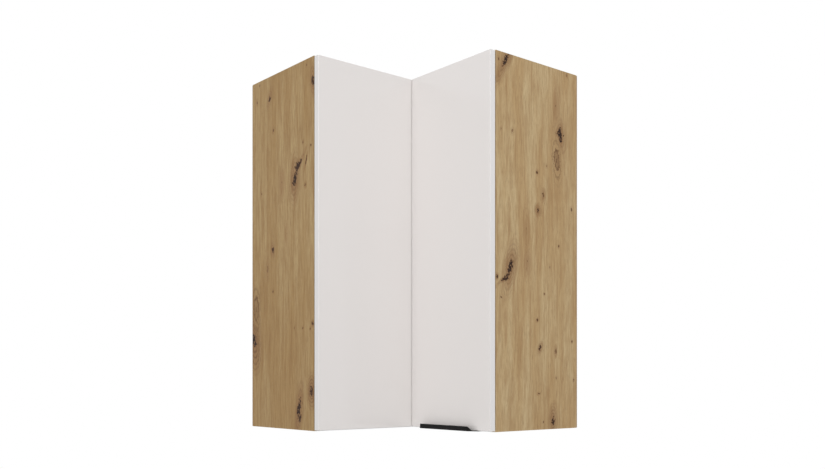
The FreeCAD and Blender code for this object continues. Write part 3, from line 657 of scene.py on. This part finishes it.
def set_in(shape, node, body, finish, facing):
    """Puts a copy of the modelled fitting where each loose solid of the CAD node is, and
    joins the copies into one piece. facing is the way that the heads look, or a function
    that gives it from a solid's centre."""
    solids = bmesh.new()
    solids.from_mesh(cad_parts[node].data)
    bmesh.ops.remove_doubles(solids, verts=solids.verts, dist=one_point)
    waiting = set(solids.verts)
    copies = []
    while waiting:
        found = [waiting.pop()]
        for vert in found:
            for edge in vert.link_edges:
                other = edge.other_vert(vert)
                if other in waiting:
                    waiting.discard(other)
                    found.append(other)
        low = Vector([min(vert.co[axis] for vert in found) for axis in range(3)])
        high = Vector([max(vert.co[axis] for vert in found) for axis in range(3)])
        centre = (low + high) / 2
        towards = Vector(facing(centre) if callable(facing) else facing)
        spot = centre + towards * abs((high - low).dot(towards)) / 2
        turn = Vector(upwards).rotation_difference(towards).to_matrix().to_4x4()
        copy = bpy.data.objects.new(node, shape.data.copy())
        copy.data.transform(Matrix.Translation(spot) @ turn)
        bpy.context.scene.collection.objects.link(copy)
        copies.append(copy)
    solids.free()
    pick(copies[0])
    for copy in copies:
        copy.select_set(True)
    bpy.ops.object.join()
    joined = bpy.context.object
    joined.name = "shaped_" + node
    fitted(joined, body, finish, node)


cam_radius = 0.0075
cam_height = 0.0125
cam_rim = 0.0012
cam_dish = 0.0006
cam = round_blank(cam_radius, cam_height, vertices=40)
choose(cam, top_face)
bpy.ops.mesh.bevel(offset=0.0004, segments=2, affect="EDGES")
choose(cam, lambda face: face.normal.z > 0.99 and face.calc_area() > 0.0001)
bpy.ops.mesh.inset(thickness=cam_rim)
extrude((0, 0, -cam_dish))
choose(cam, bottom_face)
bpy.ops.mesh.inset(thickness=0.0006, depth=-0.0004)
bpy.ops.object.mode_set(mode="OBJECT")
driver_cross(cam, reach=0.0042, width=0.0018, depth=0.0042)
smooth(cam)
set_in(cam, "cam_locks", "carcass", zinc, upwards)
clear_away(cam)

# ---------------------------------------------------------------------------
# Screws of the hinges and hangers: zinc-plated steel with cross recesses. Chipboard
# screws hold the plates and cups, and short machine screws clamp the arms to the plates.

off_left_side = (1, 0, 0)
behind_left_door = (0, 1, 0)
behind_right_door = (1, 0, 0)


def step_out(length, factor):
    """Extrudes the chosen end face downwards and makes it wider or narrower."""
    extrude((0, 0, -length))
    bpy.ops.transform.resize(value=(factor, factor, 1))


def screw_shape(head, height, shank, length, sunk=False, turns=5):
    """Screw along Z with the top of its head at zero: rim eased or countersunk, a threaded
    shank with a point, and a cross in the head. head and shank are radii."""
    thread_root = shank * 0.8
    point = length * 0.2
    pitch = (length - point) / turns
    piece = round_blank(head, height, vertices=24, foot=shank if sunk else None)
    if not sunk:
        choose(piece, top_face)
        bpy.ops.mesh.bevel(offset=min(height * 0.45, head * 0.2), segments=3, affect="EDGES")
    if length:
        choose(piece, bottom_face)
        bpy.ops.mesh.inset(thickness=(shank if sunk else head) - thread_root)
        # Each turn of the thread flares out, runs on and draws in again
        for turn in range(turns):
            for share, factor in ((0.4, 1.25), (0.2, 1.0), (0.4, 0.8)):
                step_out(pitch * share, factor)
        step_out(point, 0.1)
    bpy.ops.object.mode_set(mode="OBJECT")
    driver_cross(piece, reach=head * 0.55, width=head * 0.2,
                 depth=min(height * 0.8, head * 0.5))
    smooth(piece)
    return piece


def into_room(centre):
    """Away from the side panel: along X in the left wing and along Y in the right one."""
    return (1, 0, 0) if centre.x < centre.y else (0, 1, 0)


def from_wall(centre):
    """Away from the wall behind: along -Y in the left wing and -X in the right one."""
    return (0, -1, 0) if centre.x < centre.y else (-1, 0, 0)


plate_screw = screw_shape(head=0.0045, height=0.0012, shank=0.002, length=0.0128)
set_in(plate_screw, "side_hinge_plate_screws", "carcass", zinc, off_left_side)
set_in(plate_screw, "fold_hinge_plate_screws", "left_door", zinc,
       behind_left_door)
clear_away(plate_screw)
cup_screw = screw_shape(head=0.0045, height=0.0003, shank=0.002, length=0.012)
set_in(cup_screw, "side_hinge_cup_screws", "left_door", zinc, behind_left_door)
set_in(cup_screw, "fold_hinge_cup_screws", "right_door", zinc,
       behind_right_door)
clear_away(cup_screw)
arm_screw = screw_shape(head=0.003, height=0.0012, shank=0.0015, length=0)
set_in(arm_screw, "side_hinge_arm_screws", "carcass", zinc, off_left_side)
set_in(arm_screw, "fold_hinge_arm_screws", "left_door", zinc, behind_left_door)
clear_away(arm_screw)
hanger_screw = screw_shape(head=0.004, height=0.0012, shank=0.002, length=0.029, turns=9)
set_in(hanger_screw, "hanger_screws", "carcass", zinc, into_room)
clear_away(hanger_screw)
adjuster = screw_shape(head=0.003, height=0.008, shank=0.0015, length=0)
set_in(adjuster, "hanger_adjusters", "carcass", zinc, from_wall)
clear_away(adjuster)

# ---------------------------------------------------------------------------
# Hinges: pressed nickel-plated steel. Plates, arms and links are stamped, so their edges
# are rounded; the cups are deep-drawn. Their pins are riveted and only their ends show.

pressed_edge = 0.0003
turned_edge = 0.0004
nickel = metal("nickel_plate", (0.66, 0.65, 0.63), 0.26)


def eased(node, body, finish, radius):
    """Copy of a CAD solid with its edges rounded, as pressing or moulding leaves them."""
    piece = bpy.data.objects.new("eased_" + node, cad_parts[node].data.copy())
    bpy.context.scene.collection.objects.link(piece)
    editing(piece)
    bpy.ops.mesh.select_all(action="SELECT")
    bpy.ops.mesh.remove_doubles(threshold=one_point)
    bpy.ops.mesh.dissolve_limited(angle_limit=math.radians(0.5))
    bpy.ops.object.mode_set(mode="OBJECT")
    finished(piece, "BEVEL", width=radius, segments=2, limit_method="ANGLE",
             angle_limit=math.radians(40))
    smooth(piece)
    fitted(piece, body, finish, node)


for level in ("lower", "upper"):
    for part, body in (
        ("side_hinge_plate", "carcass"),
        ("side_hinge_arm", "carcass"),
        ("side_hinge_crank", "hinge_cranks"),
        ("side_hinge_coupler", "hinge_couplers"),
        ("side_hinge_cup", "left_door"),
        ("fold_hinge_plate", "left_door"),
        ("fold_hinge_arm", "left_door"),
        ("fold_hinge_cup", "right_door"),
    ):
        eased(f"{level}_{part}", body, nickel, pressed_edge)
for part, body in (
    ("side_hinge_arm_pins", "carcass"),
    ("side_hinge_crank_pins", "hinge_cranks"),
    ("side_hinge_cup_pins", "left_door"),
    ("fold_hinge_pins", "right_door"),
    ("shelf_pins", "carcass"),
):
    eased(part, body, zinc, turned_edge)

# ---------------------------------------------------------------------------
# Wall hangers and door bumpers: a hanger is a moulded white housing, screwed inside the
# wing's upper rear corner, with a pressed steel hook that reaches through the back. The
# bumpers are small clear domes on the right side's front edge, which the door closes on.

moulded_edge = 0.0007
dome_radius = 0.004
dome_height = 0.0012
towards_right_door = (-1, 0, 0)

plastic, tree, shader = new_finish("white_plastic", 0.42, (0.82, 0.82, 0.80))
bumped(tree, shader, noise(tree, own_place(tree), 500), 0.00005, 0.4)
for side in ("left", "right"):
    eased(side + "_hanger_housing", "carcass", plastic, moulded_edge)
    eased(side + "_hanger_hook", "carcass", zinc, turned_edge)

bumper, tree, shader = new_finish("clear_bumper", 0.2, (0.85, 0.86, 0.87))
bumped(tree, shader, noise(tree, own_place(tree), 300, 1.0), 0.00003, 0.3)
dome = round_blank(dome_radius, dome_height, vertices=32)
choose(dome, top_face)
bpy.ops.mesh.bevel(offset=0.001, segments=4, affect="EDGES")
bpy.ops.object.mode_set(mode="OBJECT")
smooth(dome)
set_in(dome, "door_bumpers", "carcass", bumper, towards_right_door)
clear_away(dome)

# ---------------------------------------------------------------------------
# Doors: white gloss boards with slightly eased front edges. The front film has the
# faint orange peel of gloss foil, and the edge banding is a touch cooler. It is set darker on
# the left door's edge and lighter on the right door's, as painted shade and painted light.

film_wrap = 0.0011       # how far the front film runs back round the door's edge
film_white = (0.81, 0.775, 0.757)


def gloss_door(name, door, axis, banding):
    """Film on the front and a little way round its edge, and banding behind that. axis is
    the one that runs through the door, from its front at the low end."""
    finish, tree, shader = new_finish(name, 0.16, film_white, Coat_Weight=0.25,
                                      Coat_Roughness=0.06)
    place = own_place(tree)
    film_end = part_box(door)[0][axis] + film_wrap
    edge = maths(tree, "GREATER_THAN", along_axes(tree, place)[axis], film_end)
    feed(tree, shader.inputs["Base Color"], mixed(tree, edge, film_white, banding))
    bumped(tree, shader, noise(tree, place, 90), 0.0002, 0.06)
    dress(finish, door)


# One banding on both doors: the left door's tone is darker and the right door's lighter, painted
# shade and painted light on edges that are lit differently.
gloss_door("gloss_white_left_shaded_edge", "left_door", 1, (0.765, 0.745, 0.733))
gloss_door("gloss_white_right_lit_edge", "right_door", 0, (0.825, 0.805, 0.80))

# ---------------------------------------------------------------------------
# Pull: black powder-coated sheet, bent. Its flange is screwed into the back of the
# right door, its web passes under the door's edge, and its lip stands up in front.

sheet = 0.0016           # thickness of the steel
bend_radius = 0.0012     # at the bend between web and flange
cut_edge = 0.0004        # rounding of the cut edges
lip_top = 0.011          # height that the lip stands to
taper = 0.021            # how far the web narrows at each end
fold = 0.0106            # length of the slope at each end of the lip
screw_spacing = 0.08
screw_height = 0.008
countersink = 0.0018
touching = 0.00001       # points nearer than this are the same place

black, tree, shader = new_finish("black_powder_coat", 0.5, (0.005, 0.005, 0.005),
                                 Specular_IOR_Level=0.14)
bumped(tree, shader, noise(tree, own_place(tree), 1400, 2.0, 0.6), 0.00008, 0.5)


def all_at(**places):
    """Test for edges whose two ends both lie at those values of x, y or z."""
    return lambda edge: all(abs(getattr(vert.co, axis) - value) < touching
                            for vert in edge.verts for axis, value in places.items())


def joining(first, last):
    """Test for the edge between two points."""
    return lambda edge: all(min((vert.co - first).length, (vert.co - last).length) < touching
                            for vert in edge.verts)


def at_point(point):
    """Test for the vertex at a point."""
    return lambda vert: (vert.co - point).length < touching


low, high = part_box("pull_handle")
door_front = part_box("right_door")[0].x
length = high.y - low.y
middle = (low.y + high.y) / 2
half_sheet = Vector((sheet, 0, sheet)) / 2
near, far = low + half_sheet, high - half_sheet
rise = Vector((0, 0, lip_top - near.z))

bpy.ops.object.select_all(action="DESELECT")
bpy.ops.mesh.primitive_plane_add(size=1, location=((far.x + door_front) / 2, middle, near.z))
pull = bpy.context.object
pull.name = "bent_pull"
pull.scale = (far.x - door_front, length, 1)
bpy.ops.object.transform_apply(location=True, rotation=False, scale=True)
bpy.ops.object.mode_set(mode="EDIT")
choose(pull, all_at(x=door_front), "EDGE")
extrude((near.x - door_front, 0, 0))
bpy.ops.transform.resize(value=(1, 1 - 2 * taper / length, 1))
extrude(rise)
choose(pull, all_at(x=far.x), "EDGE")
extrude((0, 0, high.z - near.z))

# The lip turns the corner at each end and slopes down to nothing along the slanted edge
for end, inward in ((low.y, 1), (high.y, -1)):
    corner = Vector((near.x, end + inward * taper, near.z))
    outer = Vector((door_front, end, near.z))
    foot = corner + (outer - corner).normalized() * fold
    halfway = (corner + outer) / 2
    choose(pull, joining(corner, outer), "EDGE")
    bpy.ops.mesh.subdivide(number_cuts=1)
    choose(pull, at_point(halfway), "VERT")
    bpy.ops.transform.translate(value=foot - halfway)
    choose(pull, joining(corner, foot), "EDGE")
    extrude(rise)
    choose(pull, at_point(foot + rise), "VERT")
    bpy.ops.transform.translate(value=-rise)

bpy.ops.mesh.select_mode(type="VERT")
bpy.ops.mesh.select_all(action="SELECT")
bpy.ops.mesh.remove_doubles(threshold=touching)
choose(pull, all_at(x=far.x, z=near.z), "EDGE")
bpy.ops.mesh.bevel(offset=bend_radius, segments=3, affect="EDGES")
bpy.ops.mesh.select_all(action="SELECT")
bpy.ops.mesh.normals_make_consistent(inside=False)
bpy.ops.object.mode_set(mode="OBJECT")
finished(pull, "SOLIDIFY", thickness=sheet, offset=0, solidify_mode="NON_MANIFOLD",
         nonmanifold_thickness_mode="CONSTRAINTS", nonmanifold_boundary_mode="FLAT")
finished(pull, "BEVEL", width=cut_edge, segments=3, limit_method="ANGLE",
         angle_limit=math.radians(35))
for step in (-screw_spacing, 0, screw_spacing):
    bpy.ops.object.select_all(action="DESELECT")
    bpy.ops.mesh.primitive_cone_add(
        vertices=24, radius1=0.00155, radius2=0.00315, depth=countersink,
        location=(high.x - sheet / 2, middle + step, screw_height),
        rotation=(0, math.radians(90), 0))
    drill = bpy.context.object
    finished(pull, "BOOLEAN", object=drill, solver="EXACT")
    clear_away(drill)
smooth(pull, 30)
fitted(pull, "right_door", black, "pull_handle")

pull_screw = screw_shape(head=0.003, height=0.0016, shank=0.0015, length=0.012, sunk=True)
set_in(pull_screw, "pull_screws", "right_door", black, behind_right_door)
clear_away(pull_screw)
